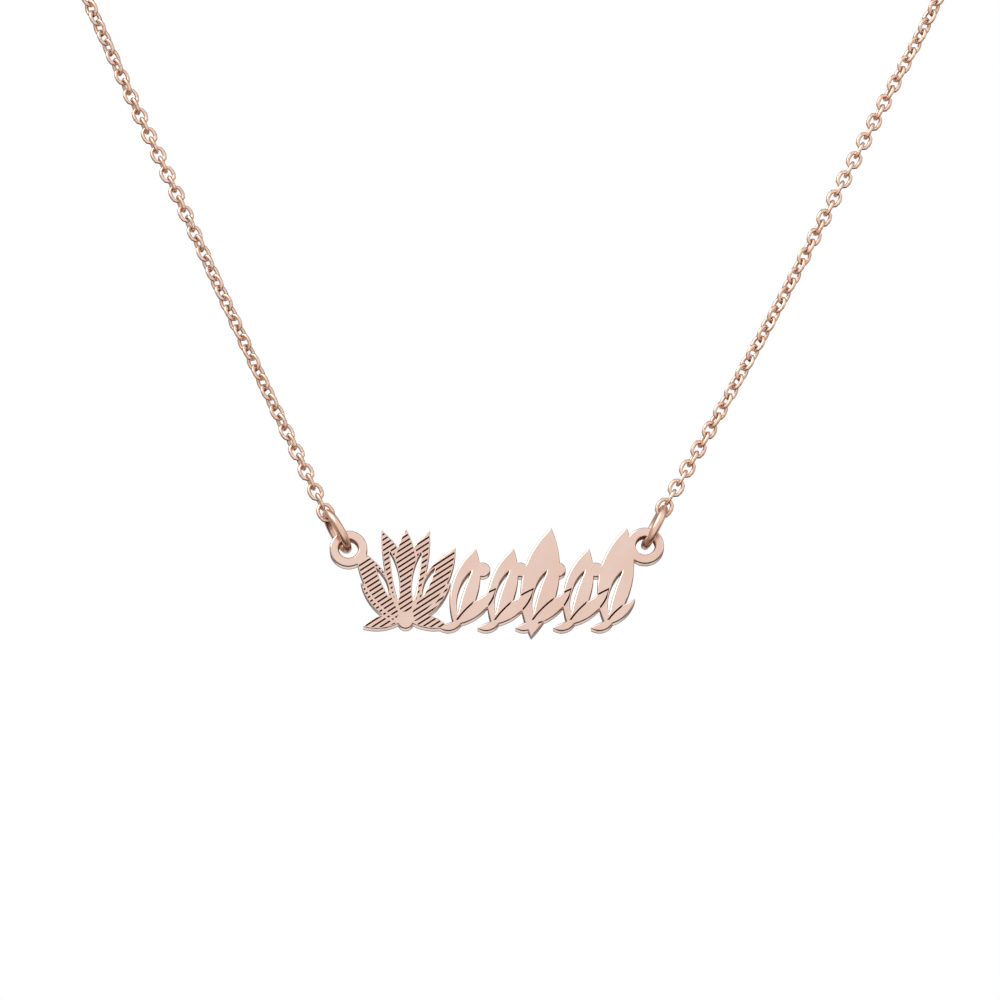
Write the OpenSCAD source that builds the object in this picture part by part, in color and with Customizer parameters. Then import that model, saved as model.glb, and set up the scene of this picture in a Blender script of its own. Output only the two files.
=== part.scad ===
// Nameplate necklace: a cut-out plate with a leaf ornament, hung by two jump rings from a
// whole loop of cable chain that closes at the nape with a plain clasp.
// Origin: the nape, at the middle of the clasp. +Z is up, and the plate's face looks along -Y.

/* [Plate] */
// Thickness of the plate
plate_t = 1.5; // [1.2:0.1:1.8]
// Distance between the centres of the two eyelets
eye_span = 37; // [35:0.2:40]
// Outer diameter of an eyelet
eye_d = 4.7; // [4.4:0.1:5]
// Diameter of the hole in an eyelet
eye_bore_d = 2.4; // [2.3:0.1:2.6]
// Height of the right eyelet above the left one
eye_rise = 0.4; // [0:0.1:0.8]

/* [Ornament] */
// Width of the large palmette
palmette_w = 11.2; // [10:0.2:12.4]
// Height of the large palmette
palmette_h = 13.2; // [12:0.2:14]
// Depth of the ornament's foot below the left eyelet's centre
foot_drop = 10.6; // [9.8:0.2:11.4]
// Height of the short leaves in the row
leaf_h = 10.6; // [9.8:0.2:11.2]
// Extra height of the tall leaves in the row
leaf_extra = 2.7; // [2:0.1:3.2]
// How far the row's long leaf dips below the foot
leaf_dip = 1.1; // [0.5:0.1:1.6]
// Overlap of the palmette with the left eyelet and with the first leaf
join_overlap = 0.8; // [0.6:0.05:1]

/* [Engraving] */
// Distance between two engraved hatch lines
hatch_pitch = 0.58; // [0.5:0.02:0.7]
// Width of an engraved line
groove_w = 0.22; // [0.16:0.01:0.24]
// Depth of an engraved line
groove_depth = 0.18; // [0.12:0.01:0.25]
// Slope of the hatch lines in degrees
hatch_slope = 34; // [25:1:45]
// Plain rim that the engraving leaves beside every edge
plain_rim = 0.12; // [0.1:0.01:0.2]
// Plain strip beside a lobe that lies over another
lobe_strip = 0.13; // [0.1:0.01:0.2]

/* [Jump rings] */
// Outer diameter of a jump ring
ring_d = 6.2; // [6:0.1:6.5]
// Wire diameter of a jump ring
ring_wire = 1; // [0.9:0.02:1.04]
// Lean of the left jump ring from the vertical, in degrees
lean_left = 31; // [28:1:34]
// Lean of the right jump ring from the vertical, in degrees
lean_right = 25; // [23:1:27]
// Turn of the left jump ring about its own pull, in degrees
open_left = 3; // [0:1:6]
// Turn of the right jump ring about its own pull, in degrees
open_right = 11; // [7:1:12]
// Clearance between a jump ring and its eyelet
ring_play = 0.32; // [0.28:0.01:0.36]

/* [Chain] */
// Wanted distance from one link to the next
link_pitch = 1.45; // [1.45:0.01:1.6]
// Wire diameter of a link
link_wire = 0.45; // [0.38:0.01:0.46]
// Play between neighbouring links
link_play = 0.115; // [0.11:0.005:0.12]
// Play between an end link and the ring that it holds
hook_play = 0.13; // [0.12:0.005:0.14]
// How far the links' roll drifts to and fro along the chain, in degrees
roll_swing = 45; // [0:5:50]
// Length of chain over which the roll drifts once to and fro
roll_wave = 52; // [50:2:80]

/* [Clasp] */
// Outer diameter of the clasp's ring
clasp_d = 5.6; // [5.2:0.1:6.4]
// Wire diameter of the clasp's ring
clasp_wire = 1.1; // [1:0.05:1.2]
// Outer diameter of the clasp's tail eye
tail_d = 2.7; // [2.6:0.1:3]
// Wire diameter of the clasp's tail eye
tail_wire = 0.7; // [0.6:0.02:0.74]
// Outer diameter of the end ring that the clasp holds
end_ring_d = 4; // [3.8:0.1:4.4]
// Wire diameter of the end ring
end_wire = 0.76; // [0.7:0.01:0.77]

/* [Hidden] */
$fn = 48;
ROSE_GOLD = [0.85, 0.66, 0.6];
CHAIN_GOLD = [0.78, 0.58, 0.52];
// Smoothness of a link's curves
LINK_SIDES = 16;
// Extra height of a cutting solid past the face that it cuts
CUT = 1;

// Middle of the plate, at the left eyelet's height, below and in front of the nape
PLATE_AT = [-0.1, -50, -102.2];

// Routes of the two strands, from above the jump ring over the side of the neck to the nape:
// a few points chosen by hand, in millimetres from the nape
ROUTE_LEFT = [
    [-22.9, -50, -94.3], [-25.3, -50, -89.1], [-28.4, -50, -82.5], [-34.4, -50, -69.1],
    [-40.3, -50, -55.7], [-46.4, -50, -42.2], [-52.3, -50, -28.6], [-56, -47.5, -18],
    [-57, -39.5, -9.5], [-53.5, -28, -4.5], [-45, -16.5, -2], [-31.5, -7, -0.5],
    [-15, -1, 0]
];
ROUTE_RIGHT = [
    [22.2, -50, -94.3], [25.1, -50, -89.1], [28.7, -50, -82.5], [35.8, -50, -69.1],
    [42.5, -50, -55.7], [49.3, -50, -42.2], [56.1, -50, -28.6], [59.5, -47.5, -18],
    [60, -39.5, -9.5], [56, -28, -4.5], [46.5, -16.5, -2], [32.5, -7, -0.5],
    [17, -1, 0]
];
// Steps of the smooth curve between two chosen points
STEPS = 10;

// Derived sizes of the plate
eye_r = eye_d / 2;
bore_r = eye_bore_d / 2;
foot = -foot_drop;
eye_left = [-eye_span / 2, 0];
eye_right = [eye_span / 2, eye_rise];
palmette_x = eye_left.x + eye_r - join_overlap + palmette_w / 2;
row_left = palmette_x + palmette_w / 2 - join_overlap;
row_right = eye_right.x - eye_r + join_overlap;
row_n = 5;
row_pitch = (row_right - row_left) / row_n;
// Leaves of the row that stand tall, and the one that dips below the foot
TALL = [0, 0, 1, 0, 1];
DIPS = [0, 0, 1, 0, 0];

// Lobes of the palmette's right half: the ends' places as shares of half its width and of its
// height, then the bulge of the outer and of the inner edge as shares of the lobe's length
LOBES = [
    //  x0    z0    x1    z1  outer inner
    [-0.04, 0.12, 0.94, 0.03, 0.13, 0.17],
    [ 0.06, 0.05, 1.00, 0.46, 0.14, 0.13],
    [ 0.04, 0.06, 1.11, 0.81, 0.14, 0.13],
    [ 0.02, 0.08, 0.54, 0.98, 0.07, 0.17]
];
// Bulge of the middle lobe's two edges, and the height of its foot
MIDDLE_BULGE = 0.125;
MIDDLE_FOOT = 0.06;
// Round knob at the palmette's foot: its height, and its radius as a share of the width
KNOB_Z = 0.09;
KNOB_R = 0.09;
// Slits cut through between the lobes, in the same columns
SLITS = [
    [ 0.17, 0.29, 0.35, 0.77, 0.03, 0.09],
    [ 0.38, 0.33, 0.66, 0.61, 0.03, 0.12]
];

// Parts of a leaf in the row, as shares of the row's pitch and of a short leaf's height
BLADE_FOOT = [-0.20, 0.015];
BLADE_TIP_X = 0.34;
BLADE_BULGE = [0.17, 0.15];
SLIT_ENDS = [[-0.14, 0.20], [0.22, 0.72]];
SLIT_BULGE = [0.13, -0.03];
SIDE_ENDS = [[-0.24, 0.06], [0.88, 0.50]];
LAST_SIDE_END = [0.56, 0.38];
SIDE_BULGE = [0.08, 0.16];
CURL_ENDS = [[-0.02, 0.10], [-0.62, 0.02]];
CURL_BULGE = [0.24, 0.12];
BERRY_AT = [0.52, 0.74];
BERRY_R = 0.2;

// Derived sizes of the rings and links
ring_r = (ring_d - ring_wire) / 2;
ring_inner = ring_d / 2 - ring_wire;
link_hole_w = end_wire + 2 * hook_play;
// How much wider and longer a strand's first link is, for the jump ring's thicker wire
first_extra = ring_wire - end_wire;
clasp_r = (clasp_d - clasp_wire) / 2;
tail_r = (tail_d - tail_wire) / 2;
tail_x = clasp_d / 2 + tail_r;
end_r = (end_ring_d - end_wire) / 2;
end_inner = end_ring_d / 2 - end_wire;
end_ring_x = hook_play - (clasp_d / 2 - clasp_wire) - end_inner;
// How far inside a ring's inner edge its end link's joint lies
hook_in = hook_play - link_play / 2;

function unit(v) = v / norm(v);
function square_to(v, d) = unit(v - (v * d) * d);
function turned(v, d, a) = v * cos(a) + cross(d, v) * sin(a);

// Direction in which a strand pulls its jump ring, for a lean to the right
function pull(lean) = [sin(lean), 0, cos(lean)];

// Distance from an eyelet's centre to its ring's centre: the ring's inner circle clears both
// corners of the eyelet's rim by ring_play
function ring_reach(open) =
    bore_r + sqrt(pow(ring_inner - ring_play, 2) - pow(plate_t / 2 / cos(open), 2));

// The same eyelet centre in space
function eye_at(eye) = PLATE_AT + [eye.x, 0, eye.y];

// Place where the strand's first link would meet the jump ring without its extra length
function strand_start(eye, lean, open) =
    eye_at(eye) + pull(lean) * (ring_reach(open) + ring_inner - hook_in + first_extra);

// One point of a smooth curve through b and c, with a and d as the points beside them
function curve(a, b, c, d, t) =
    ((-a + 3 * b - 3 * c + d) * pow(t, 3) + (2 * a - 5 * b + 4 * c - d) * pow(t, 2)
    + (c - a) * t + 2 * b) / 2;

// A route as many short steps, which sets out along aim and runs straight into its end
function smooth(points, aim) =
    let (n = len(points), first = norm(points[1] - points[0]), ends = concat(
        [points[1] - 2 * first * aim], points, [2 * points[n - 1] - points[n - 2]]))
    concat([for (i = [0:n - 2]) for (k = [0:STEPS - 1])
        curve(ends[i], ends[i + 1], ends[i + 2], ends[i + 3], k / STEPS)], [points[n - 1]]);

// Running length at every step
function lengths(p) =
    [for (i = 0, s = 0; i < len(p); i = i + 1, s = i < len(p) ? s + norm(p[i] - p[i - 1]) : s) s];

// The point at length s along the steps, which lies in the step that s falls in
function step_of(run, s, lo, hi) =
    hi - lo <= 1 ? lo
    : let (mid = floor((lo + hi) / 2)) run[mid] <= s ? step_of(run, s, mid, hi)
    : step_of(run, s, lo, mid);
function point_at(p, run, s) =
    let (i = step_of(run, s, 0, len(p) - 1), f = (s - run[i]) / (run[i + 1] - run[i]))
    p[i] + (p[i + 1] - p[i]) * f;

// Joints between the links, at equal lengths, as many as come nearest to link_pitch
function joints(p) =
    let (run = lengths(p), total = run[len(p) - 1], n = round(total / link_pitch))
    [for (i = [0:n]) point_at(p, run, min(total * i / n, total * 0.999999))];

// A sideways direction for every link, carried along the strand without twist
function carried(dirs, first) =
    [for (i = 0, v = square_to(first, dirs[0]); i < len(dirs);
        i = i + 1, v = i < len(dirs) ? square_to(v, dirs[i]) : v) v];

// Angle about d from v to w, between -180 and 180
function angle_about(v, w, d) = atan2(cross(v, w) * d, v * w);

// Share of a roll that eases from 0 to 1
function ease(t) = t * t * (3 - 2 * t);

// A disc through p0 and p1 whose rim bulges by b to the left of the way from p0 to p1
module bulged_disc(p0, p1, b, grow)
{
    c = norm(p1 - p0);
    r = (c * c / 4 + b * b) / (2 * b);
    left = [p0.y - p1.y, p1.x - p0.x] / c;
    translate((p0 + p1) / 2 + left * (b - r))
        circle(r = r + grow);
}

// A leaf from p0 to p1 between two arcs, whose bulges are shares of its length; a negative
// bulge curves that edge inwards
module leaf(p0, p1, bulge, grow = 0)
{
    left = bulge[0] * norm(p1 - p0);
    right = bulge[1] * norm(p1 - p0);
    if (left > 0 && right > 0)
        intersection() {
            bulged_disc(p0, p1, left, grow);
            bulged_disc(p1, p0, right, grow);
        }
    else if (left > 0)
        difference() {
            bulged_disc(p0, p1, left, grow);
            bulged_disc(p0, p1, -right, -grow);
        }
}

// One lobe or slit of the palmette from its table row, on the right or the left half
module lobe(row, half, grow = 0)
{
    size = [half * palmette_w / 2, palmette_h];
    base = [palmette_x, foot];
    p0 = base + [row[0] * size.x, row[1] * size.y];
    p1 = base + [row[2] * size.x, row[3] * size.y];
    leaf(p0, p1, half > 0 ? [row[5], row[4]] : [row[4], row[5]], grow);
}

module middle_lobe(grow = 0)
{
    leaf([palmette_x, foot + MIDDLE_FOOT * palmette_h], [palmette_x, foot + palmette_h],
        [MIDDLE_BULGE, MIDDLE_BULGE], grow);
}

module knob(grow = 0)
{
    translate([palmette_x, foot + KNOB_Z * palmette_h])
        circle(r = KNOB_R * palmette_w + grow);
}

module slits(grow = 0)
{
    for (row = SLITS, half = [-1, 1])
        lobe(row, half, grow);
}

module palmette()
{
    difference() {
        union() {
            middle_lobe();
            knob();
            for (row = LOBES, half = [-1, 1])
                lobe(row, half);
        }
        slits();
    }
}

// Where a table share of a leaf in the row lies on the plate
function row_at(i, p) = [row_left + (i + 0.5 + p.x) * row_pitch, foot + p.y * leaf_h];

module blade(i, grow = 0)
{
    down = [0, DIPS[i] * leaf_dip];
    tip = [row_at(i, [BLADE_TIP_X, 0]).x, foot + leaf_h + TALL[i] * leaf_extra];
    leaf(row_at(i, BLADE_FOOT) - down, tip, BLADE_BULGE, grow);
}

module blade_slit(i, grow = 0)
{
    leaf(row_at(i, SLIT_ENDS[0]), row_at(i, SLIT_ENDS[1]), SLIT_BULGE, grow);
}

module side_leaf(i, grow = 0)
{
    end = i < row_n - 1 ? SIDE_ENDS[1] : LAST_SIDE_END;
    leaf(row_at(i, SIDE_ENDS[0]), row_at(i, end), SIDE_BULGE, grow);
}

module curl(i, grow = 0)
{
    leaf(row_at(i, CURL_ENDS[0]), row_at(i, CURL_ENDS[1]), CURL_BULGE, grow);
}

module row_leaf(i)
{
    difference() {
        blade(i);
        blade_slit(i);
    }
    side_leaf(i);
    curl(i);
    if (i < row_n - 1)
        translate(row_at(i, BERRY_AT))
            circle(r = BERRY_R * row_pitch);
}

module outline()
{
    difference() {
        union() {
            palmette();
            for (i = [0:row_n - 1])
                row_leaf(i);
            for (eye = [eye_left, eye_right])
                translate(eye)
                    circle(r = eye_r);
        }
        for (eye = [eye_left, eye_right])
            translate(eye)
                circle(r = bore_r);
    }
}

// The palmette's lobes from back to front, each clear of the ones that lie over it
module hatch_field()
{
    difference() {
        union() {
            for (k = [0:len(LOBES) - 1], half = [-1, 1])
                difference() {
                    lobe(LOBES[k], half, -plain_rim);
                    if (k < len(LOBES) - 1)
                        lobe(LOBES[k + 1], half, lobe_strip);
                    middle_lobe(lobe_strip);
                }
            middle_lobe(-plain_rim);
        }
        slits(plain_rim);
        knob(lobe_strip);
        translate(eye_left)
            circle(r = eye_r + lobe_strip);
    }
}

module hatch_lines()
{
    reach = palmette_w + palmette_h;
    n = ceil(reach / 2 / hatch_pitch);
    translate([palmette_x, foot + palmette_h / 2])
        rotate(hatch_slope)
            for (k = [-n:n])
                translate([-reach / 2, k * hatch_pitch - groove_w / 2])
                    square([reach, groove_w]);
}

// A line along the edge of a side leaf, where it lies over the blade k
module overlap_line(i, k)
{
    difference() {
        intersection() {
            side_leaf(i, groove_w / 2);
            blade(k, -plain_rim);
        }
        side_leaf(i, -groove_w / 2);
        blade_slit(k, plain_rim);
        curl(i, plain_rim);
    }
}

module overlap_lines()
{
    for (i = [0:row_n - 1])
        overlap_line(i, i);
    for (i = [0:row_n - 2])
        overlap_line(i, i + 1);
}

module engraving()
{
    intersection() {
        hatch_lines();
        hatch_field();
    }
    overlap_lines();
}

module nameplate()
{
    color(ROSE_GOLD)
        translate(PLATE_AT)
            rotate([90, 0, 0])
                difference() {
                    linear_extrude(height = plate_t, center = true)
                        outline();
                    translate([0, 0, plate_t / 2 - groove_depth])
                        linear_extrude(height = groove_depth + CUT)
                            engraving();
                }
}

module wire_ring(r, wire)
{
    rotate_extrude()
        translate([r, 0])
            circle(d = wire);
}

// Puts a shape that is drawn along X, with its flat side up, along d with its normal along up
module laid(at, d, up)
{
    side = cross(up, d);
    multmatrix([[d.x, side.x, up.x, at.x], [d.y, side.y, up.y, at.y], [d.z, side.z, up.z, at.z]])
        children();
}

// Normal of a jump ring's plane: square to its pull, and turned about it so that the ring's
// front stands to the right
function ring_normal(lean, open) = turned(cross(pull(lean), [0, -1, 0]), pull(lean), open);

module jump_ring(eye, lean, open)
{
    color(ROSE_GOLD)
        laid(eye_at(eye) + pull(lean) * ring_reach(open), pull(lean), ring_normal(lean, open))
            wire_ring(ring_r, ring_wire);
}

module jump_ring_left()
{
    jump_ring(eye_left, -lean_left, open_left);
}

module jump_ring_right()
{
    jump_ring(eye_right, lean_right, open_right);
}

// One oval link of a given pitch and hole width, centred, along X with its flat side up
module link(pitch, hole_w)
{
    $fn = LINK_SIDES;
    straight = pitch + link_play - hole_w;
    link_r = (hole_w + link_wire) / 2;
    for (end = [-1, 1]) {
        translate([end * straight / 2, 0, 0])
            rotate(-end * 90)
                rotate_extrude(angle = 180)
                    translate([link_r, 0])
                        circle(d = link_wire);
        translate([-straight / 2, end * link_r, 0])
            rotate([0, 90, 0])
                cylinder(h = straight, d = link_wire);
    }
}

// A strand of links along a route, whose roll drifts on its way and fits the ring at each end
module strand(route, start, aim, finish, first_normal, last_normal)
{
    joint = joints(smooth(concat([start], route, [finish]), aim));
    n = len(joint) - 1;
    dirs = [for (i = [0:n - 1]) unit(joint[i + 1] - joint[i])];
    side = carried(dirs, first_normal);
    open = angle_about(side[n - 1], square_to(last_normal, dirs[n - 1]), dirs[n - 1]);
    last = open - 90 * (n - 1) - 180 * round((open - 90 * (n - 1)) / 180);
    // A strand's links after the first are alike, made to a hundredth of a millimetre
    pitch = round(100 * norm(joint[1] - joint[0])) / 100;
    color(CHAIN_GOLD)
        for (i = [0:n - 1]) {
            // The roll settles on the strand's second half, which runs round the neck
            t = max(0, 2 * i / (n - 1) - 1);
            drift = roll_swing * (1 - cos(360 * i * link_pitch / roll_wave)) / 2;
            roll = 90 * i + drift * (1 - ease(t)) + last * ease(t);
            extra = i == 0 ? first_extra : 0;
            middle = (joint[i] + joint[i + 1] - extra * dirs[i]) / 2;
            laid(middle, dirs[i], turned(side[i], dirs[i], roll))
                link(pitch + extra, link_hole_w + extra);
        }
}

// Ring tangent where the strand hooks on, which is the first link's normal
function hook_normal(lean, open) = cross(ring_normal(lean, open), pull(lean));

module chain_left()
{
    strand(ROUTE_LEFT, strand_start(eye_left, -lean_left, open_left), pull(-lean_left),
        [end_ring_x - end_inner + hook_in, 0, 0],
        hook_normal(-lean_left, open_left), [0, 1, 0]);
}

module chain_right()
{
    strand(ROUTE_RIGHT, strand_start(eye_right, lean_right, open_right), pull(lean_right),
        [tail_x + tail_d / 2 - tail_wire - hook_in, 0, 0],
        hook_normal(lean_right, open_right), [0, 0, 1]);
}

// A plain closed ring with a tail eye, standing for the whole clasp
module clasp()
{
    color(ROSE_GOLD)
        rotate([90, 0, 0]) {
            wire_ring(clasp_r, clasp_wire);
            translate([tail_x, 0, 0])
                wire_ring(tail_r, tail_wire);
        }
}

module end_ring()
{
    color(ROSE_GOLD)
        translate([end_ring_x, 0, 0])
            wire_ring(end_r, end_wire);
}

nameplate();
jump_ring_left();
jump_ring_right();
chain_left();
chain_right();
clasp();
end_ring();
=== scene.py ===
"""Looks of a nameplate necklace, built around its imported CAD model.

A cut-out plate of leaf ornament hangs by two jump rings from a whole loop of fine cable chain.
All sizes are in millimetres in the part's own frame: the origin is the nape, +Z is up, and the
plate's face looks along -Y. Meshes are turned to metres when they are made.
"""
import sys
import logging
import math
from dataclasses import dataclass, field
from enum import Enum

import bpy
import numpy as np
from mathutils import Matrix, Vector
from mathutils.geometry import delaunay_2d_cdt


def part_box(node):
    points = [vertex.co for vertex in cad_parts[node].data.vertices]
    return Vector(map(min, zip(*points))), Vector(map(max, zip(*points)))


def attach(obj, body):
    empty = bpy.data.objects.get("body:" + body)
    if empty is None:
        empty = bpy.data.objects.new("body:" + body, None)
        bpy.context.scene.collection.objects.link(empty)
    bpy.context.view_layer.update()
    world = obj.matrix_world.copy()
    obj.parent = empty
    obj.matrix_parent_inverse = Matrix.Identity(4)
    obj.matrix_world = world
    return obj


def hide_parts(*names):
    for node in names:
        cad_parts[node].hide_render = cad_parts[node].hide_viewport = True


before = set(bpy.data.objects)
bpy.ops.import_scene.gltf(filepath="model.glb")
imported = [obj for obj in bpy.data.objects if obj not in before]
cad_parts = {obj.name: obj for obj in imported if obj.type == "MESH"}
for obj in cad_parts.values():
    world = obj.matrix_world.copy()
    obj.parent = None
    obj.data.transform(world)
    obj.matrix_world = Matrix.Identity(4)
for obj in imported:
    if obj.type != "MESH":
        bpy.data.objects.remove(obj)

Array = np.ndarray
MM = 0.001
INSIDE_TRIANGLES = 1  # delaunay_2d_cdt's output type with the triangles inside the outlines
SAME_PLACE = 1e-3  # heights this close, in millimetres, are the same
BOX_PLAY = 0.06  # a piece's box may lie this far, in millimetres, off its CAD node's box
INNER_FALL = 0.7  # power by which the painted shade thins out from a bend's inner side
LOG = logging.getLogger("necklace")


class Body(Enum):
    """The CAD bodies that the pieces ride on."""

    CHAIN = "chain"
    NAMEPLATE = "nameplate"


class Slot(Enum):
    """The record's material slots."""

    PLATE = "plate_metal"
    RING = "ring_metal"
    CHAIN = "chain_metal"


# Vectors and meshes


def unit(v: Array) -> Array:
    """Each row of v at length 1."""
    return v / np.linalg.norm(v, axis=-1, keepdims=True)


def square_to(v: Array, d: Array) -> Array:
    """The unit vector nearest to v that is square to the unit vector d."""
    return unit(v - (v @ d) * d)


def turned(v: Array, d: Array, degrees: Array) -> Array:
    """Rows of v turned about the rows of d, to which they are square, by so many degrees."""
    a = np.radians(np.asarray(degrees, float))[..., None]
    return v * np.cos(a) + np.cross(d, v) * np.sin(a)


def make_mesh(
    name: str,
    places: Array,
    faces: list[Array],
    normals: list[Array] | None = None,
    uvs: Array | None = None,
    values: dict[str, Array] | None = None,
    slots: list[int] | None = None,
) -> bpy.types.Object:
    """Puts whole arrays into a new mesh object at the origin.

    Args:
        name: Name of the piece.
        places: Vertex places in millimetres, one row each.
        faces: Blocks of faces, each an array with one face's corners to a row.
        normals: For each block, the normal of every corner of every face.
        uvs: One UV pair for every corner of every face, in the faces' order.
        values: Named numbers, one for every vertex.
        slots: Material slot of each block.

    Returns:
        The object, in the scene.
    """
    mesh = bpy.data.meshes.new(name)
    mesh.from_pydata((places * MM).tolist(), [], [f for block in faces for f in block.tolist()])
    mesh.polygons.foreach_set("use_smooth", np.ones(len(mesh.polygons), bool))
    if slots:
        index = np.concatenate([np.full(len(b), s, np.int32) for b, s in zip(faces, slots)])
        mesh.polygons.foreach_set("material_index", index)
    if uvs is not None:
        mesh.uv_layers.new(name="wire").data.foreach_set("uv", uvs.astype(np.float32).ravel())
    for key, numbers in (values or {}).items():
        attribute = mesh.attributes.new(key, "FLOAT", "POINT")
        attribute.data.foreach_set("value", numbers.astype(np.float32).ravel())
    mesh.update()
    if normals:
        mesh.normals_split_custom_set(np.concatenate([n.reshape(-1, 3) for n in normals]).tolist())
    obj = bpy.data.objects.new(name, mesh)
    bpy.context.scene.collection.objects.link(obj)
    return obj


def dress(obj: bpy.types.Object, body: Body, materials: list[bpy.types.Material],
          node: str) -> None:
    """Gives a piece its materials, its body and the CAD node that it stands for.

    Args:
        obj: The piece.
        body: The CAD body that it rides on.
        materials: Its materials, in the order of its slots.
        node: The CAD node that it replaces.
    """
    for material in materials:
        obj.data.materials.append(material)
    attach(obj, body.value)
    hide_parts(node)
    off = box_gap(obj, node)
    if off > BOX_PLAY:
        raise ValueError(f"{obj.name} lies {off:.3f} mm off its CAD solid")
    LOG.info("%s: %d faces on %s", obj.name, len(obj.data.polygons), body.value)


def mesh_places(mesh: bpy.types.Mesh) -> Array:
    """A mesh's vertex places, in metres, one to a row."""
    places = np.empty(len(mesh.vertices) * 3, np.float32)
    mesh.vertices.foreach_get("co", places)
    return places.reshape(-1, 3)


def box_gap(obj: bpy.types.Object, node: str) -> float:
    """How far, in millimetres, a piece's box lies from its CAD node's box at most."""
    places = mesh_places(obj.data)
    low, high = (np.array(corner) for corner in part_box(node))
    return float(max(abs(places.min(0) - low).max(), abs(places.max(0) - high).max())) / MM


def closed_grid(rings: int, sides: int) -> tuple[Array, Array]:
    """Faces and UVs of a surface that is closed both ways, such as a ring of wire.

    The vertex of ring i and side j has number i * sides + j. A face joins rings i and i + 1 and
    sides j and j + 1, both counted round. U runs along the wire and V around it, from 0 to 1.

    Args:
        rings: Number of rings along the wire.
        sides: Number of vertices around it.

    Returns:
        Face corners, one face to a row, and one UV pair for every corner.
    """
    i, j = (k.ravel() for k in np.meshgrid(np.arange(rings), np.arange(sides), indexing="ij"))
    across, along = (j + 1) % sides, (i + 1) % rings
    faces = np.stack([i * sides + j, along * sides + j, along * sides + across,
                      i * sides + across], axis=1)
    u = np.stack([i, i + 1, i + 1, i], axis=1) / rings
    v = np.stack([j, j, j + 1, j + 1], axis=1) / sides
    return faces, np.stack([u, v], axis=2).reshape(-1, 2)


# Wire: rings and links


@dataclass(frozen=True)
class Wire:
    """Round wire bent to a closed oval: two half circles joined by two straights.

    Attributes:
        radius: Radius of the bends, at the middle of the wire.
        thickness: Thickness of the wire.
        straight: Length of each straight.
        arc_steps: Steps along each half circle.
        sides: Vertices around the wire.
    """

    radius: float
    thickness: float
    straight: float = 0.0
    arc_steps: int = 30
    sides: int = 20

    def surface(self) -> tuple[Array, Array]:
        """The bent wire's surface in its own frame, lying in the XY plane.

        The centre line goes round at the bend's radius, and each half is moved out along X by
        half the straight's length. Around the line, the surface point at angle v stands off by
        the wire's radius, outwards by cos v and up by sin v. The radius is made larger by the
        square root of 2 pi / (n sin(2 pi / n)), so that n sides have the round wire's area.

        Returns:
            Vertex places, and for each a share from 0 to 1 of how deep it lies in a bend's
            inner side, where neighbours touch and shade falls; the material paints that shade.
        """
        half = np.linspace(-90, 90, self.arc_steps + 1)
        if self.straight == 0:
            half = half[:-1]
        a = np.radians(np.concatenate([half, half + 180]))
        shift = np.repeat([0.5, -0.5], len(half)) * self.straight
        v = np.linspace(0, 2 * np.pi, self.sides, endpoint=False)
        out = np.stack([np.cos(a), np.sin(a), 0 * a], axis=1)
        line = self.radius * out + np.stack([shift, 0 * a, 0 * a], axis=1)
        off = np.cos(v)[None, :, None] * out[:, None] + np.sin(v)[None, :, None] * [0, 0, 1]
        share = 2 * np.pi / self.sides
        places = line[:, None] + self.thickness / 2 * math.sqrt(share / math.sin(share)) * off
        # painted shade: share of shade at the inner side of each bend, where neighbouring wires
        # touch
        bend = np.abs(np.cos(a))[:, None] ** 2 * np.clip(-np.cos(v), 0, 1)[None, :] ** INNER_FALL
        return places.reshape(-1, 3), bend.ravel()

    def faces(self) -> tuple[Array, Array]:
        """Face corners and UVs of one bent wire."""
        rings = 2 * (self.arc_steps + (1 if self.straight else 0))
        return closed_grid(rings, self.sides)


def laid(places: Array, at: Array, along: Array, up: Array) -> Array:
    """Copies of a shape drawn along X with its flat side up, one for each row of at.

    Args:
        places: The shape's vertices, (n, 3).
        at: Where each copy's middle goes, (m, 3).
        along: Unit direction of each copy's X axis, (m, 3).
        up: Unit direction of each copy's Z axis, (m, 3).

    Returns:
        All copies' vertices, (m * n, 3).
    """
    side = np.cross(up, along)
    axes = np.stack([along, side, up], axis=1)
    return (at[:, None] + np.einsum("nk,mkc->mnc", places, axes)).reshape(-1, 3)


@dataclass(frozen=True)
class Copies:
    """A bent wire and where its copies go: a middle, a unit direction and a normal to a row."""

    wire: Wire
    at: Array
    along: Array
    up: Array


def wire_piece(name: str, groups: list[Copies]) -> bpy.types.Object:
    """One mesh with all copies of one or more bent wires.

    Args:
        name: Name of the piece.
        groups: The wires with their copies; all wires have equally many faces.

    Returns:
        The object, with a vertex attribute that gives the share of painted shade at its bends'
        inner sides, for its material.
    """
    shapes = [group.wire.surface() for group in groups]
    faces, uvs = groups[0].wire.faces()
    count = sum(len(group.at) for group in groups)
    shift = np.arange(count)[:, None, None] * len(shapes[0][0])
    places = [laid(shape, g.at, g.along, g.up) for (shape, _), g in zip(shapes, groups)]
    # painted shade at the bends' inner sides, as a vertex share for the material
    shade_share = [np.tile(share, len(g.at)) for (_, share), g in zip(shapes, groups)]
    return make_mesh(name, np.concatenate(places), [(faces[None] + shift).reshape(-1, 4)],
                     uvs=np.tile(uvs, (count, 1)), values={"shade_share": np.concatenate(shade_share)})


@dataclass(frozen=True)
class Eyelet:
    """A hole near the plate's end, that a jump ring passes through.

    Attributes:
        centre: Its middle, on the plate's front.
        bore_d: Its diameter.
        plate_t: Thickness of the plate there.
    """

    centre: tuple[float, float, float]
    bore_d: float = 2.4
    plate_t: float = 1.5


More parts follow.
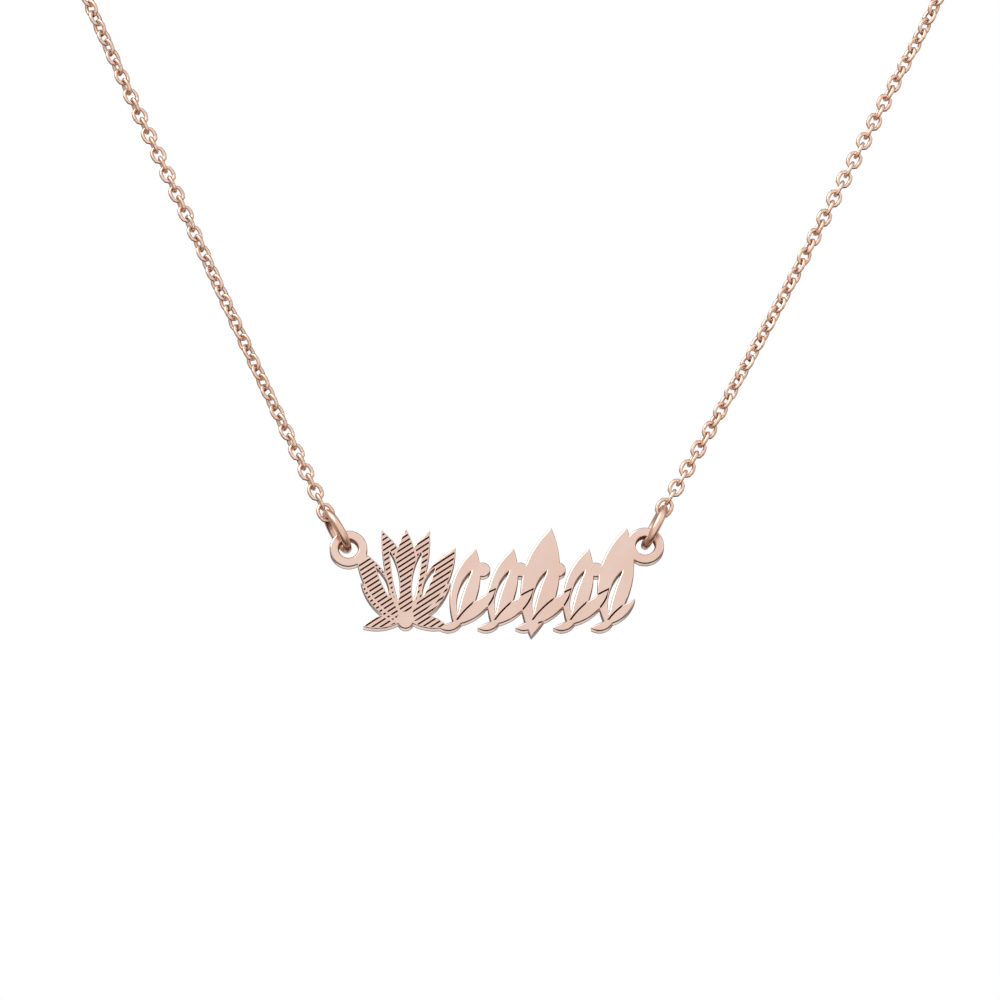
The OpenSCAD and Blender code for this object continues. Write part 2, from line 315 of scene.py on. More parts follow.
@dataclass(frozen=True)
class JumpRing:
    """A round ring of wire, pulled up and out of its eyelet by its strand.

    Attributes:
        eyelet: The hole that it hangs in.
        lean: Degrees by which its strand pulls it to the right of straight up.
        opened: Degrees by which its front is turned to the right about that pull.
        outer_d: Its outer diameter.
        wire_d: Thickness of its wire.
        play: Gap between its wire and the eyelet's rim.
    """

    eyelet: Eyelet
    lean: float
    opened: float
    outer_d: float = 6.2
    wire_d: float = 1.0
    play: float = 0.32

    @property
    def inner(self) -> float:
        """Inner radius."""
        return self.outer_d / 2 - self.wire_d

    @property
    def pull(self) -> Array:
        """Direction in which the strand pulls: up, leaning to the side."""
        a = math.radians(self.lean)
        return np.array([math.sin(a), 0, math.cos(a)])

    @property
    def normal(self) -> Array:
        """Normal of the ring's plane: square to the pull, turned a little about it."""
        return turned(np.cross(self.pull, [0, -1, 0]), self.pull, self.opened)

    @property
    def centre(self) -> Array:
        """Middle of the ring, where its inner circle clears the rim's two corners by the play."""
        half_wall = self.eyelet.plate_t / 2 / math.cos(math.radians(self.opened))
        reach = self.eyelet.bore_d / 2 + math.sqrt((self.inner - self.play) ** 2 - half_wall**2)
        return np.array(self.eyelet.centre) + self.pull * reach

    def build(self, name: str, materials: list[bpy.types.Material]) -> None:
        """Makes the ring in place of its CAD node of the same name."""
        wire = Wire((self.outer_d - self.wire_d) / 2, self.wire_d)
        ring = wire_piece(f"{name}_wire", [
            Copies(wire, self.centre[None], self.pull[None], self.normal[None])])
        dress(ring, Body.CHAIN, materials, name)


@dataclass(frozen=True)
class Nape:
    """The plain clasp ring with its tail eye, and the end ring that it holds."""

    clasp_d: float = 5.6
    clasp_wire: float = 1.1
    tail_d: float = 2.7
    tail_wire: float = 0.7
    end_d: float = 4.0
    end_wire: float = 0.76
    play: float = 0.13

    @property
    def tail_x(self) -> float:
        """Middle of the tail eye, whose wire starts at the clasp ring's outer edge."""
        return self.clasp_d / 2 + (self.tail_d - self.tail_wire) / 2

    @property
    def end_x(self) -> float:
        """Middle of the end ring, which pulls at the clasp ring's inner side."""
        return self.play - (self.clasp_d / 2 - self.clasp_wire) - (self.end_d / 2 - self.end_wire)

    def build(self, materials: list[bpy.types.Material]) -> None:
        """Makes the end ring, and keeps the clasp's CAD node with a better material."""
        x, z = np.eye(3)[0], np.eye(3)[2]
        wire = Wire((self.end_d - self.end_wire) / 2, self.end_wire)
        ring = wire_piece("end_ring_wire", [Copies(wire, self.end_x * x[None], x[None], z[None])])
        dress(ring, Body.CHAIN, materials, "end_ring")
        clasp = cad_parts["clasp"]
        clasp.data.materials.clear()
        clasp.data.materials.append(materials[0])


# Chain


@dataclass(frozen=True)
class Link:
    """One oval link of the cable chain.

    Attributes:
        end_wire: Thickness of the end ring's wire, which every link can hold.
        wire: Thickness of its own wire.
        play: Gap from one link to the next.
        hook_play: Gap from a link to a ring.
        arc_steps: Steps along each half circle of its wire.
        sides: Vertices around its wire.
    """

    end_wire: float = 0.76
    wire: float = 0.45
    play: float = 0.115
    hook_play: float = 0.13
    arc_steps: int = 5
    sides: int = 6

    @property
    def hook(self) -> float:
        """From a ring's inner side to the point where the strand's first link begins."""
        return self.hook_play - self.play / 2

    def bent(self, pitch: float, extra: float = 0.0) -> Wire:
        """The link as bent wire, with a hole that the end ring's wire passes with its play.

        Args:
            pitch: Distance from one link to the next.
            extra: How much wider and longer the link is, for a thicker ring.

        Returns:
            The wire, of a few dozen faces.
        """
        hole = self.end_wire + 2 * self.hook_play + extra
        return Wire((hole + self.wire) / 2, self.wire, pitch + extra + self.play - hole,
                    self.arc_steps, self.sides)


@dataclass(frozen=True)
class Strand:
    """A strand of links along a route, from its jump ring to the nape.

    Attributes:
        name: Name of its CAD node.
        ring: The jump ring that it pulls at.
        route: Points that it passes through.
        finish: X of its last point, at the height and depth of the nape.
        last_normal: Which way the last link's flat side looks.
        link: Its link.
        pitch: Distance from one link to the next, before it is fitted to the route.
        roll_swing: Most degrees of the links' slow drift.
        roll_wave: Length of strand in which they drift to and fro once.
        steps: Steps from one point of the route to the next.
    """

    name: str
    ring: JumpRing
    route: list[tuple[float, float, float]]
    finish: float
    last_normal: tuple[float, float, float]
    link: Link = field(default_factory=Link)
    pitch: float = 1.45
    roll_swing: float = 45.0
    roll_wave: float = 52.0
    steps: int = 10

    @property
    def extra(self) -> float:
        """How much wider and longer the first link is, for the jump ring's thicker wire."""
        return self.ring.wire_d - self.link.end_wire

    def smooth(self) -> Array:
        """The route as many short steps.

        Each stretch between two chosen points b and c is the cubic that leaves b parallel to
        the line from a to c and reaches c parallel to the line from b to d, where a and d are
        the points beside them. The first stretch sets out along the jump ring's pull.

        Returns:
            Points along the route, one to a row.
        """
        ring = self.ring
        start = ring.centre + ring.pull * (ring.inner - self.link.hook + self.extra)
        p = np.vstack([start, self.route, [self.finish, 0, 0]])
        before = p[1] - 2 * np.linalg.norm(p[1] - p[0]) * ring.pull
        p = np.vstack([before, p, 2 * p[-1] - p[-2]])
        a, b, c, d = (p[k:len(p) - 3 + k, None] for k in range(4))
        t = (np.arange(self.steps) / self.steps)[None, :, None]
        curve = ((-a + 3 * b - 3 * c + d) * t**3 + (2 * a - 5 * b + 4 * c - d) * t**2
                 + (c - a) * t + 2 * b) / 2
        return np.vstack([curve.reshape(-1, 3), p[-2]])

    def joints(self) -> Array:
        """Points at equal lengths along the route, where the links meet."""
        p = self.smooth()
        run = np.concatenate([[0], np.cumsum(np.linalg.norm(np.diff(p, axis=0), axis=1))])
        count = round(run[-1] / self.pitch)
        s = np.linspace(0, run[-1], count + 1)
        return np.stack([np.interp(s, run, p[:, k]) for k in range(3)], axis=1)

    def frames(self, dirs: Array) -> Array:
        """Flat side of every link.

        The first link's flat side is square to the jump ring's wire. It is carried along without
        twist, every second link is rolled by 90 degrees, and a slow drift to and fro gives way,
        on the strand's second half, to the roll that the last link needs.

        Args:
            dirs: Unit direction of every link, (n, 3).

        Returns:
            Unit normal of every link's plane, (n, 3).
        """
        side = [square_to(np.cross(self.ring.normal, self.ring.pull), dirs[0])]
        for d in dirs[1:]:
            side.append(square_to(side[-1], d))
        side, n = np.array(side), len(dirs)
        last = square_to(np.array(self.last_normal, float), dirs[-1])
        opened = math.degrees(math.atan2(np.cross(side[-1], last) @ dirs[-1], side[-1] @ last))
        spare = opened - 90 * (n - 1)
        spare -= 180 * round(spare / 180)
        i = np.arange(n)
        t = np.clip(2 * i / (n - 1) - 1, 0, 1)
        ease = t * t * (3 - 2 * t)
        drift = self.roll_swing * (1 - np.cos(2 * np.pi * i * self.pitch / self.roll_wave)) / 2
        return turned(side, dirs, 90 * i + drift * (1 - ease) + spare * ease)

    def build(self, materials: list[bpy.types.Material]) -> None:
        """Makes all links of the strand as one piece in place of its CAD node."""
        joint = self.joints()
        dirs = unit(np.diff(joint, axis=0))
        pitch = round(float(np.linalg.norm(joint[1] - joint[0])), 2)
        middle, up = (joint[1:] + joint[:-1]) / 2, self.frames(dirs)
        first = middle[:1] - dirs[:1] * self.extra / 2
        obj = wire_piece(self.name + "_links", [
            Copies(self.link.bent(pitch, self.extra), first, dirs[:1], up[:1]),
            Copies(self.link.bent(pitch), middle[1:], dirs[1:], up[1:])])
        dress(obj, Body.CHAIN, materials, self.name)


# Plate


@dataclass
class Edge:
    """Closed outlines on the plate's face, cut to short segments.

    The material lies to the left of every segment, seen from the front. Each outline's segments
    follow one another, and ring gives the number of each point's outline.
    """

    points: Array
    start_normal: Array
    end_normal: Array
    inward: Array
    turn: Array
    ring: Array
    following: Array

    @property
    def before(self) -> Array:
        """Number of the point before each point."""
        back = np.empty_like(self.following)
        back[self.following] = np.arange(len(back))
        return back


def face_triangles(node: str) -> tuple[Array, Array]:
    """Places and triangles of a CAD node, with equal places merged.

    Args:
        node: Name of the CAD node.

    Returns:
        Places in millimetres, and place numbers of each triangle's corners.
    """
    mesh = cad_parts[node].data
    mesh.calc_loop_triangles()
    corners = np.empty(len(mesh.loop_triangles) * 3, np.int32)
    mesh.loop_triangles.foreach_get("vertices", corners)
    rounded = np.round(mesh_places(mesh).astype(float) / MM, 4)
    merged, number = np.unique(rounded, axis=0, return_inverse=True)
    return merged, number.ravel()[corners].reshape(-1, 3)


def closed_loops(start: Array, end: Array) -> list[Array]:
    """Sorts directed edges into closed loops, with whole arrays and no walk from point to point.

    Every point takes on the least number in its loop by looking 1, 2, 4, 8 ... points ahead, and
    then its distance to that least point in the same way.

    Args:
        start: Point at each edge's start.
        end: Point at each edge's end.

    Returns:
        The points of each loop in order.
    """
    ids = np.sort(start)
    if len(np.unique(ids)) != len(ids):
        raise ValueError("two outlines touch in a point")
    ahead = np.empty(len(ids), int)
    ahead[np.searchsorted(ids, start)] = np.searchsorted(ids, end)
    own, least, hop = np.arange(len(ids)), np.arange(len(ids)), ahead.copy()
    rounds = int(np.ceil(np.log2(len(ids)))) + 1
    for _ in range(rounds):
        least, hop = np.minimum(least, least[hop]), hop[hop]
    first = least == own
    left, hop = np.where(first, 0, 1), np.where(first, own, ahead)
    for _ in range(rounds):
        left, hop = left + left[hop], hop[hop]
    order = np.lexsort((-np.where(first, len(ids), left), least))
    return np.split(ids[order], np.flatnonzero(np.diff(least[order])) + 1)


def left_of(d: Array) -> Array:
    """Rows of d turned by 90 degrees to the left."""
    return np.stack([-d[:, 1], d[:, 0]], axis=1)


@dataclass(frozen=True)
class Nameplate:
    """The cut-out plate: a polished face, rounded edges, and engraved lines with a dark ground.

    Attributes:
        eyelets: Its two eyelets.
        node: Its CAD node.
        thickness: Its thickness.
        round_front: Radius of the rounding along the front, where there is room.
        round_back: Radius of the rounding along the back.
        painted_shade_back: Width of the painted shade strip along the back.
        painted_shade_front: Width of the painted shade line behind the front's rounding.
        painted_shade_shares: Share of painted shade where the front's rounding ends.
        painted_shade_back_share: Share of painted shade along the back.
        bore_shade_fall: How fast the painted shade in an eyelet's hole ends on its rounding.
        engraved_depth: Depth of the engraved lines.
        segment: Longest piece that outlines are cut to.
        corner: Degrees of turn that make a corner.
        mitre_limit: Longest mitre of an inner corner.
        fold: Least cosine of the sides of a mitre.
        tip_share: Share of a sharp tip's room that the rounding takes.
        ball_share: Share of the least circle's radius that it takes.
        beside_share: Share of the way to an engraved line that it takes.
        least_width: Least width of the rounding.
        slope: How fast that width may grow along an outline.
        slope_rounds: How many points far that limit is carried.
        front_steps: Steps of the front's rounding.
        back_steps: Steps of the back's rounding.
    """

    eyelets: tuple[Eyelet, ...]
    node: str = "nameplate"
    thickness: float = 1.5
    round_front: float = 0.25
    round_back: float = 0.09
    painted_shade_back: float = 0.45
    painted_shade_front: float = 0.22
    painted_shade_shares: tuple[float, float] = (0.4, 1.0)
    painted_shade_back_share: float = 2.0
    bore_shade_fall: float = 2.5
    engraved_depth: float = 0.18
    segment: float = 0.22
    corner: float = 25.0
    mitre_limit: float = 1.2
    fold: float = -0.9
    tip_share: float = 0.5
    ball_share: float = 0.8
    beside_share: float = 0.75
    least_width: float = 0.004
    slope: float = 0.3
    slope_rounds: int = 12
    front_steps: int = 4
    back_steps: int = 2

    def outlines(self) -> tuple[list[Array], list[Array], float]:
        """Outlines of the CAD plate's face, seen from the front.

        An edge of the face that only one of its triangles has is on an outline. An outline that
        also lies on the back goes through the plate, and the others are engraved.

        Returns:
            Outlines that go through, engraved outlines, both in X and Z, and the face's Y.
        """
        places, corners = face_triangles(self.node)
        y = places[:, 1]
        face = corners[(np.abs(y[corners] - y.min()) < SAME_PLACE).all(axis=1)]
        edges = np.concatenate([face[:, [0, 1]], face[:, [1, 2]], face[:, [2, 0]]])
        key, other = edges @ [len(places), 1], edges @ [1, len(places)]
        edges = edges[~np.isin(key, other)]
        behind = places[np.abs(y - y.max()) < SAME_PLACE][:, [0, 2]] @ [1, 1j]
        through, engraved = [], []
        for loop in closed_loops(edges[:, 0], edges[:, 1]):
            flat = places[loop][:, [0, 2]]
            on_back = np.isin(np.round(flat @ [1, 1j], 4), np.round(behind, 4))
            (through if on_back.mean() > 0.5 else engraved).append(flat)
        return through, engraved, float(y.min())

    def cut(self, loops: list[Array], smooth: bool) -> Edge:
        """Cuts outlines to short segments.

        Between two points of a smooth stretch the outline is the cubic with the outline's own
        direction at both points, so that arcs are round again. A point at which the outline
        turns by more than the corner angle keeps the corner.

        Args:
            loops: Points of each outline, in X and Z.
            smooth: True to round the arcs, False to keep the straight edges as they are.

        Returns:
            The segments of all outlines.
        """
        parts, count = [], 0
        for number, p in enumerate(loops):
            chord = np.roll(p, -1, axis=0) - p
            length = np.linalg.norm(chord, axis=1)
            own = left_of(chord / length[:, None])
            last = np.roll(own, 1, axis=0)
            turn = np.degrees(np.arctan2(last[:, 0] * own[:, 1] - last[:, 1] * own[:, 0],
                                         (last * own).sum(axis=1)))
            sharp = np.abs(turn) > self.corner
            even = unit(own + last)
            n0 = np.where(sharp[:, None], own, even)
            n1 = np.roll(np.where(sharp[:, None], last, even), -1, axis=0)
            pieces = np.ceil(length / self.segment).astype(int) if smooth else np.ones(len(p), int)
            e = np.repeat(np.arange(len(p)), pieces)
            step = np.arange(len(e)) - np.repeat(np.cumsum(pieces) - pieces, pieces)
            t = (step / pieces[e])[:, None]
            go0, go1 = -left_of(n0)[e] * length[e, None], -left_of(n1)[e] * length[e, None]
            points = ((2 * t**3 - 3 * t**2 + 1) * p[e] + (t**3 - 2 * t**2 + t) * go0
                      + (3 * t**2 - 2 * t**3) * np.roll(p, -1, axis=0)[e] + (t**3 - t**2) * go1)
            start = unit((1 - t) * n0[e] + t * n1[e])
            t_end = t + 1 / pieces[e][:, None]
            end = unit((1 - t_end) * n0[e] + t_end * n1[e])
            at_start = step == 0
            cosine = np.clip((own * last).sum(axis=1), self.fold, 1)
            mitre = (own + last) / (1 + cosine)[:, None]
            size = np.linalg.norm(mitre, axis=1, keepdims=True)
            shorter = mitre * np.minimum(1, self.mitre_limit / size)
            mitre = np.where((turn < 0)[:, None], shorter, mitre)
            inward = np.where((at_start & sharp[e])[:, None], mitre[e], start)
            parts.append((points, start, end, inward, np.where(at_start & sharp[e], turn[e], 0),
                          np.full(len(e), number), np.roll(np.arange(len(e)), -1) + count))
            count += len(e)
        return Edge(*(np.concatenate(column) for column in zip(*parts)))

    def room(self, edge: Edge, others: Array) -> Array:
        """How wide the rounding may be at each point of the outlines.

        The circle that touches the outline in the point from inside and passes through another
        point has the radius d * d / (2 h), where d is the other point's distance and h its
        height over the outline. The least of these radii is the room there. At a sharp tip the
        room is half of what its shorter side leaves, and beside an engraved line it is most of
        the way to that line.

        Args:
            edge: The outlines that go through the plate.
            others: Points close together on the engraved outlines.

        Returns:
            The width of the rounding, in millimetres.
        """
        off = edge.points[None] - edge.points[:, None]
        square = (off**2).sum(axis=2)
        least = np.full(len(edge.points), np.inf)
        last_normal = edge.end_normal[edge.before]
        for normal in (edge.start_normal, last_normal):
            height = (off * normal[:, None]).sum(axis=2)
            ball = np.where(height > 1e-4, square / (2 * np.maximum(height, 1e-4)), np.inf)
            least = np.minimum(least, ball.min(axis=1))
        side = np.linalg.norm(edge.points[edge.following] - edge.points, axis=1)
        shorter = np.minimum(side, side[edge.before])
        tip = self.tip_share * shorter * np.tan(np.radians(90 - np.abs(edge.turn) / 2))
        beside = np.linalg.norm(others[None] - edge.points[:, None], axis=2).min(axis=1)
        width = np.where(edge.turn > 0, tip, self.ball_share * least)
        width = np.minimum(width, self.beside_share * beside)
        width = np.clip(width, self.least_width, self.round_front)
        rise, before = self.slope * side, edge.before
        for _ in range(self.slope_rounds):
            width = np.minimum(width, width[edge.following] + rise)
            width = np.minimum(width, width[before] + rise[before])
        return width

    def walls(self, edge: Edge, angle: Array, first: int) -> tuple[Array, Array]:
        """Faces and corner normals of a profile that is carried along the outlines.

        Ring k's point i has number first + k * n + i. A corner's normal turns from the face's
        own normal at angle 0 to straight out of the wall at 90 and to the back's at 180.

        Args:
            edge: The outlines.
            angle: Angle of each ring's normal in degrees.
            first: Number of the first vertex.

        Returns:
            Quads, and the normals of their corners.
        """
        n, i = len(edge.points), np.arange(len(edge.points))
        rings = np.arange(len(angle) - 1)[:, None]
        j = edge.following
        faces = first + np.stack([rings * n + i, (rings + 1) * n + i, (rings + 1) * n + j,
                                  rings * n + j], axis=2)
        a = np.radians(angle)
        out = np.zeros((n, 3))
        normals = np.empty(faces.shape + (3,))
        for corner, (ring, normal) in enumerate(
                ((0, edge.start_normal), (1, edge.start_normal), (1, edge.end_normal),
                 (0, edge.end_normal))):
            out[:, 0], out[:, 2] = -normal[:, 0], -normal[:, 1]
            turn = a[rings[:, 0] + ring][:, None, None]
            normals[:, :, corner] = np.sin(turn) * out - np.cos(turn) * np.array([0, 1, 0])
        return faces.reshape(-1, 4), normals.reshape(-1, 4, 3)

    def profile(self, width: Array) -> tuple[Array, Array, Array, Array]:
        """The plate's edge in section: a quarter round, the straight wall and a small round.

        At the angle a of the quarter round, the edge stands the width times 1 - sin a inside the
        outline and the width times 1 - cos a below the face. Two more rings stand on the wall,
        where the painted shade line behind the rounding ends and the painted shade strip along the
        back begins.

        Args:
            width: Width of the front's rounding at each point.

        Returns:
            Inset and depth, (rings, points), each ring's angle in degrees, and its share of
            painted shade.
        """
        front = np.linspace(0, 90, self.front_steps + 1)
        back = np.linspace(90, 180, self.back_steps + 1)
        a, b = np.radians(front)[:, None], np.radians(back)[:, None]
        small = np.minimum(width, self.round_back)
        strip = 0 * width[None]
        inset = np.concatenate([width * (1 - np.sin(a)), strip, strip,
                                small * (1 - np.sin(b))])
        depth = np.concatenate([width * (1 - np.cos(a)), width[None] + self.painted_shade_front,
                                strip + self.thickness - self.painted_shade_back,
                                self.thickness - small * (1 + np.cos(b))])
        painted_shade = np.zeros(len(inset))
        # painted shade: a dark line where the front's rounding ends and a dark strip along the
        # back, standing in for the shade along the plate's edges
        painted_shade[self.front_steps - 1:self.front_steps + 1] = self.painted_shade_shares
        painted_shade[-self.back_steps - 1:-1] = self.painted_shade_back_share
        return inset, depth, np.concatenate([front, [90, 90], back]), painted_shade

    def filled(self, rings: list[tuple[Edge, int]], places: Array) -> Array:
        """Triangles between closed outlines, with their holes left open.

        A triangle is kept where an odd number of outlines goes round it.

        Args:
            rings: Outlines, each with the number of its first vertex.
            places: All vertex places.

        Returns:
            Triangles that look at the viewer in front.
        """
        index = np.concatenate([first + np.arange(len(e.points)) for e, first in rings])
        loops, count = [], 0
        for e, _ in rings:
            starts = np.flatnonzero(np.diff(e.ring)) + 1
            loops += [part + count for part in np.split(np.arange(len(e.points)), starts)]
            count += len(e.points)
        flat = places[index][:, [0, 2]]
        outlines = []
        for loop in loops:
            p = flat[loop]
            area = np.cross(p, np.roll(p, -1, axis=0)).sum()
            outlines.append((loop if area > 0 else loop[::-1]).tolist())
        out, _, faces, came, _, within = delaunay_2d_cdt(
            [Vector(p) for p in flat.tolist()], [], outlines, INSIDE_TRIANGLES, 1e-6)
        if len(out) != len(flat):
            raise ValueError(f"outlines cross: {len(out)} points from {len(flat)}")
        kept = np.array([len(w) % 2 == 1 for w in within])
        return index[np.array([c[0] for c in came])][np.array(faces)[kept]]

    def bore_shade(self, places: Array) -> Array:
        """Painted shade in the eyelet holes: a share from 0 to 1 of how far each place lies in an
        eyelet's hole, not on its face.
        """
        share = np.zeros(len(places))
        for eye in self.eyelets:
            off = np.linalg.norm((places - np.array(eye.centre))[:, [0, 2]], axis=1)
            rise = (off - eye.bore_d / 2) / self.round_front
            share = np.maximum(share, np.clip(1 - self.bore_shade_fall * rise, 0, 1))
        return share

    def build(self, materials: list[bpy.types.Material]) -> None:
        """Makes the plate in place of its CAD node.

        Args:
            materials: The polished finish, then the engraved lines' dark ground.
        """
        through, engraved, y = self.outlines()
        edge, lines = self.cut(through, True), self.cut(engraved, False)
        width = self.room(edge, self.cut(engraved, True).points)
        inset, depth, angle, painted_shade = self.profile(width)
        flat = edge.points + inset[:, :, None] * edge.inward
        rim = np.stack([flat[..., 0], y + depth, flat[..., 1]], axis=2).reshape(-1, 3)
        ground = np.zeros((2, len(lines.points))) + [[y], [y + self.engraved_depth]]
        cuts = np.stack([ground * 0 + lines.points[:, 0], ground,
                         ground * 0 + lines.points[:, 1]], axis=2).reshape(-1, 3)
        places = np.concatenate([rim, cuts])
        n, first_cut = len(edge.points), len(rim)
        wall, wall_normals = self.walls(edge, angle, 0)
        groove, groove_normals = self.walls(lines, np.array([90, 90]), first_cut)
        front = self.filled([(edge, 0), (lines, first_cut)], places)
        floor = self.filled([(lines, first_cut + len(lines.points))], places)
        back = self.filled([(edge, (len(angle) - 1) * n)], places)[:, ::-1]
        # painted shade in the eyelet holes and along the edges, a vertex share for the material
        shade_share = self.bore_shade(places)
        shade_share[:len(rim)] = np.maximum(shade_share[:len(rim)], np.repeat(painted_shade, n))
        ahead = np.array([0.0, -1.0, 0.0])
        obj = make_mesh(
            "nameplate_plate", places, [front, wall, back, groove, floor],
            normals=[np.tile(ahead, (len(front) * 3, 1)), wall_normals,
                     np.tile(-ahead, (len(back) * 3, 1)), groove_normals,
                     np.tile(ahead, (len(floor) * 3, 1))],
            values={"shade_share": shade_share}, slots=[0, 0, 0, 1, 1])
        LOG.info("plate: %d outlines, %d engraved lines, rounding %.3f to %.3f mm",
                 len(through), len(engraved), width.min(), width.max())
        dress(obj, Body.NAMEPLATE, materials, self.node)


# Finishes


class Tree:
    """A node tree in the making, with short calls for nodes and links."""

    def __init__(self, tree: bpy.types.NodeTree) -> None:
        """Keeps the tree that nodes go into."""
        self.tree = tree

    def node(self, kind: str, inputs: dict | None = None, **settings) -> bpy.types.Node:
        """Adds a node.

        Args:
            kind: The node's type in Blender, without its leading "ShaderNode".
            inputs: Values or output sockets for its inputs, by name or number.
            settings: Values of its properties.

        Returns:
            The new node.
        """
        made = self.tree.nodes.new("ShaderNode" + kind)
        for name, value in settings.items():
            setattr(made, name, value)
        for name, value in (inputs or {}).items():
            if isinstance(value, bpy.types.NodeSocket):
                self.tree.links.new(value, made.inputs[name])
            else:
                made.inputs[name].default_value = value
        return made

    def math(self, operation: str, *values, clamp: bool = False) -> bpy.types.NodeSocket:
        """Output of a Math node on one to three values or sockets."""
        made = self.node("Math", dict(enumerate(values)), operation=operation, use_clamp=clamp)
        return made.outputs[0]

    def span(self, value: bpy.types.NodeSocket, low: float, high: float, to_low: float = 0.0,
             to_high: float = 1.0) -> bpy.types.NodeSocket:
        """Value eased from the span low to high onto the span to_low to to_high."""
        made = self.node("MapRange", {"Value": value, "From Min": low, "From Max": high,
                                      "To Min": to_low, "To Max": to_high},
                         interpolation_type="SMOOTHSTEP")
        return made.outputs["Result"]

    def mix(self, factor, a, b) -> bpy.types.NodeSocket:
        """Colour between a and b by a factor; each is a value or a socket."""
        made = self.node("Mix", {0: factor, 6: a, 7: b}, data_type="RGBA")
        return made.outputs[2]

    def noise(self, vector: bpy.types.NodeSocket, scale: float,
              detail: float) -> bpy.types.NodeSocket:
        """Noise from 0 to 1 over a vector."""
        made = self.node("TexNoise", {"Vector": vector, "Scale": scale, "Detail": detail})
        return made.outputs["Fac"]


def new_group(name: str, inputs: dict[str, float], outputs: list[str]) -> tuple[
        bpy.types.NodeTree, Tree, bpy.types.Node, bpy.types.Node]:
    """An empty shader node group with number sockets.

    Args:
        name: Name of the group.
        inputs: Its inputs with their usual values.
        outputs: Its outputs.

    Returns:
        The group, a Tree on it, its input node and its output node.
    """
    group = bpy.data.node_groups.new(name, "ShaderNodeTree")
    for key, value in inputs.items():
        socket = group.interface.new_socket(key, in_out="INPUT", socket_type="NodeSocketFloat")
        socket.default_value = value
    for key in outputs:
        group.interface.new_socket(key, in_out="OUTPUT", socket_type="NodeSocketFloat")
    return group, Tree(group), group.nodes.new("NodeGroupInput"), group.nodes.new(
        "NodeGroupOutput")


def cleared(owner: bpy.types.Material | bpy.types.World) -> tuple[
        bpy.types.Material | bpy.types.World, Tree]:
    """A material or world with its nodes taken out, and a Tree on it."""
    owner.use_nodes = True
    owner.node_tree.nodes.clear()
    return owner, Tree(owner.node_tree)


def polish_group() -> bpy.types.NodeTree:
    """Marks that hand polishing leaves: soft clouds, shallow waves and crossing hairlines.

    Clouds are low noise over the piece. Hairlines are noise that is stretched thirtyfold along
    two slanting directions and cut off near its top, so that few fine lines remain.
    """
    group, t, come, go = new_group("polish_marks", {"Cloud Size": 6.0, "Hairlines": 0.5},
                                   ["Cloud", "Lines", "Height"])
    place = t.node("TexCoord").outputs["Object"]
    scale = t.math("DIVIDE", 1000.0, come.outputs["Cloud Size"])
    scaled = t.node("VectorMath", {0: place, "Scale": scale}, operation="SCALE").outputs[0]
    cloud = t.noise(scaled, 1.0, 2.0)
    lines = []
    for turn, stretch in ((0.5, (900.0, 30000.0, 30000.0)), (-0.9, (1200.0, 36000.0, 36000.0))):
        seen = t.node("Mapping", {"Vector": place, "Rotation": (turn * 0.4, turn, 0.3),
                                  "Scale": stretch}).outputs[0]
        lines.append(t.span(t.noise(seen, 1.0, 1.0), 0.62, 0.72))
    both = t.math("MAXIMUM", *lines)
    faded = t.math("MULTIPLY", both, come.outputs["Hairlines"])
    height = t.math("SUBTRACT", cloud, t.math("MULTIPLY", faded, 0.04))
    for socket, name in ((cloud, "Cloud"), (faded, "Lines"), (height, "Height")):
        t.tree.links.new(socket, go.inputs[name])
    return group


def shade_paint_group() -> bpy.types.NodeTree:
    """Painted shade: a dark mask from a vertex share of painted shade.

    The share is one at the inner side of each wire's bend, where wires touch and shade falls,
    and in the plate's eyelet holes and the dark lines along its edges, which are painted shade
    too. Noise breaks up the painted shade's border.
    """
    group, t, come, go = new_group("shade_paint", {"Reach": 0.5, "Strength": 1.0}, ["Mask"])
    shade_share = t.node("Attribute", attribute_name="shade_share").outputs["Fac"]
    place = t.node("TexCoord").outputs["Object"]
    rough = t.math("MULTIPLY", t.math("SUBTRACT", t.noise(place, 3000.0, 3.0), 0.5), 0.25)
    start = t.math("SUBTRACT", 1.0, come.outputs["Reach"])
    depth = t.math("SUBTRACT", t.math("ADD", shade_share, rough), start)
    mask = t.math("DIVIDE", depth, come.outputs["Reach"], clamp=True)
    t.tree.links.new(t.math("MULTIPLY", mask, come.outputs["Strength"]), go.inputs["Mask"])
    return group


def seam_group() -> bpy.types.NodeTree:
    """Hairline where a wire's two ends were closed, across the wire at one place of its UV map."""
    group, t, come, go = new_group("closed_seam", {"Place": 0.2, "Width": 0.004}, ["Mask"])
    along = t.node("SeparateXYZ", {0: t.node("UVMap", uv_map="wire").outputs[0]}).outputs[0]
    off = t.math("ABSOLUTE", t.math("SUBTRACT", along, come.outputs["Place"]))
    share = t.math("DIVIDE", off, come.outputs["Width"], clamp=True)
    t.tree.links.new(t.math("SUBTRACT", 1.0, share), go.inputs["Mask"])
    return group


@dataclass(frozen=True)
class Groups:
    """The shared node groups."""

    polish: bpy.types.NodeTree
    shade_paint: bpy.types.NodeTree
    seam: bpy.types.NodeTree

    @staticmethod
    def make() -> "Groups":
        """Builds each group once."""
        return Groups(polish_group(), shade_paint_group(), seam_group())


